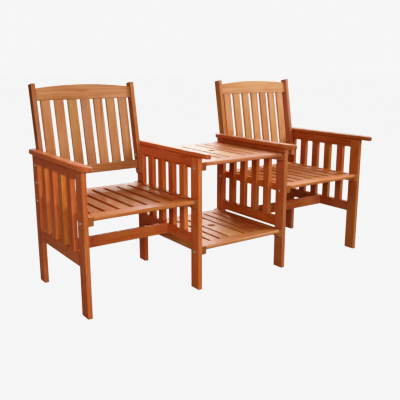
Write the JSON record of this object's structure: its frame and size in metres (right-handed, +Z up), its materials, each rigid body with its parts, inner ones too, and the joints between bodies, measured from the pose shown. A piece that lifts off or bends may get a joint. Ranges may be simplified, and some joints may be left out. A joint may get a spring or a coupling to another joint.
{
  "type": "companion seat bench",
  "caption": "Slatted hardwood companion bench: two armchairs with leaning backs joined by a table with a parasol hole and a lower shelf.",
  "frame": {"origin": "on the floor, on the axis of the two parasol holes, in the middle of the length and of the depth", "axes": "+Z up, +X along the length from the left seat to the right seat as seen from the front, -Y towards the person in front of the bench"},
  "size_m": [1.622, 0.6599, 0.9042],
  "materials": {
    "hardwood": "oiled satin",
    "zinc_steel": "zinc plated",
    "dowel_wood": "plain turned wood"
  },
  "bodies": {
    "root": {"outer_left_front_leg": "hardwood", "outer_left_rear_leg": "hardwood", "outer_left_upper_rail": "hardwood", "outer_left_lower_rail": "hardwood", "outer_left_slats": "hardwood", "outer_left_armrest": "hardwood", "inner_left_front_leg": "hardwood", "inner_left_rear_leg": "hardwood", "inner_left_upper_rail": "hardwood", "inner_left_lower_rail": "hardwood", "inner_left_slats": "hardwood", "inner_left_armrest": "hardwood", "inner_right_front_leg": "hardwood", "inner_right_rear_leg": "hardwood", "inner_right_upper_rail": "hardwood", "inner_right_lower_rail": "hardwood", "inner_right_slats": "hardwood", "inner_right_armrest": "hardwood", "outer_right_front_leg": "hardwood", "outer_right_rear_leg": "hardwood", "outer_right_upper_rail": "hardwood", "outer_right_lower_rail": "hardwood", "outer_right_slats": "hardwood", "outer_right_armrest": "hardwood", "left_seat_front_rail": "hardwood", "left_seat_back_rail": "hardwood", "left_seat_slats": "hardwood", "left_seat_side_rails": "hardwood", "right_seat_front_rail": "hardwood", "right_seat_back_rail": "hardwood", "right_seat_slats": "hardwood", "right_seat_side_rails": "hardwood", "left_stretcher": "hardwood", "right_stretcher": "hardwood", "left_back_outer_stile": "hardwood", "left_back_inner_stile": "hardwood", "left_back_top_rail": "hardwood", "left_back_lower_rail": "hardwood", "left_back_slats": "hardwood", "right_back_outer_stile": "hardwood", "right_back_inner_stile": "hardwood", "right_back_top_rail": "hardwood", "right_back_lower_rail": "hardwood", "right_back_slats": "hardwood", "table_top_front_rail": "hardwood", "table_top_back_rail": "hardwood", "table_top_slats": "hardwood", "table_top_centre_board": "hardwood", "table_top_side_rails": "hardwood", "shelf_front_rail": "hardwood", "shelf_back_rail": "hardwood", "shelf_slats": "hardwood", "shelf_centre_board": "hardwood", "shelf_side_rails": "hardwood", "frame_bolts": "zinc_steel", "table_bolts": "zinc_steel", "bolt_washers": "zinc_steel", "bolt_nuts": "zinc_steel", "stretcher_screws": "zinc_steel", "armrest_dowels": "dowel_wood"}
  },
  "joints": []
}
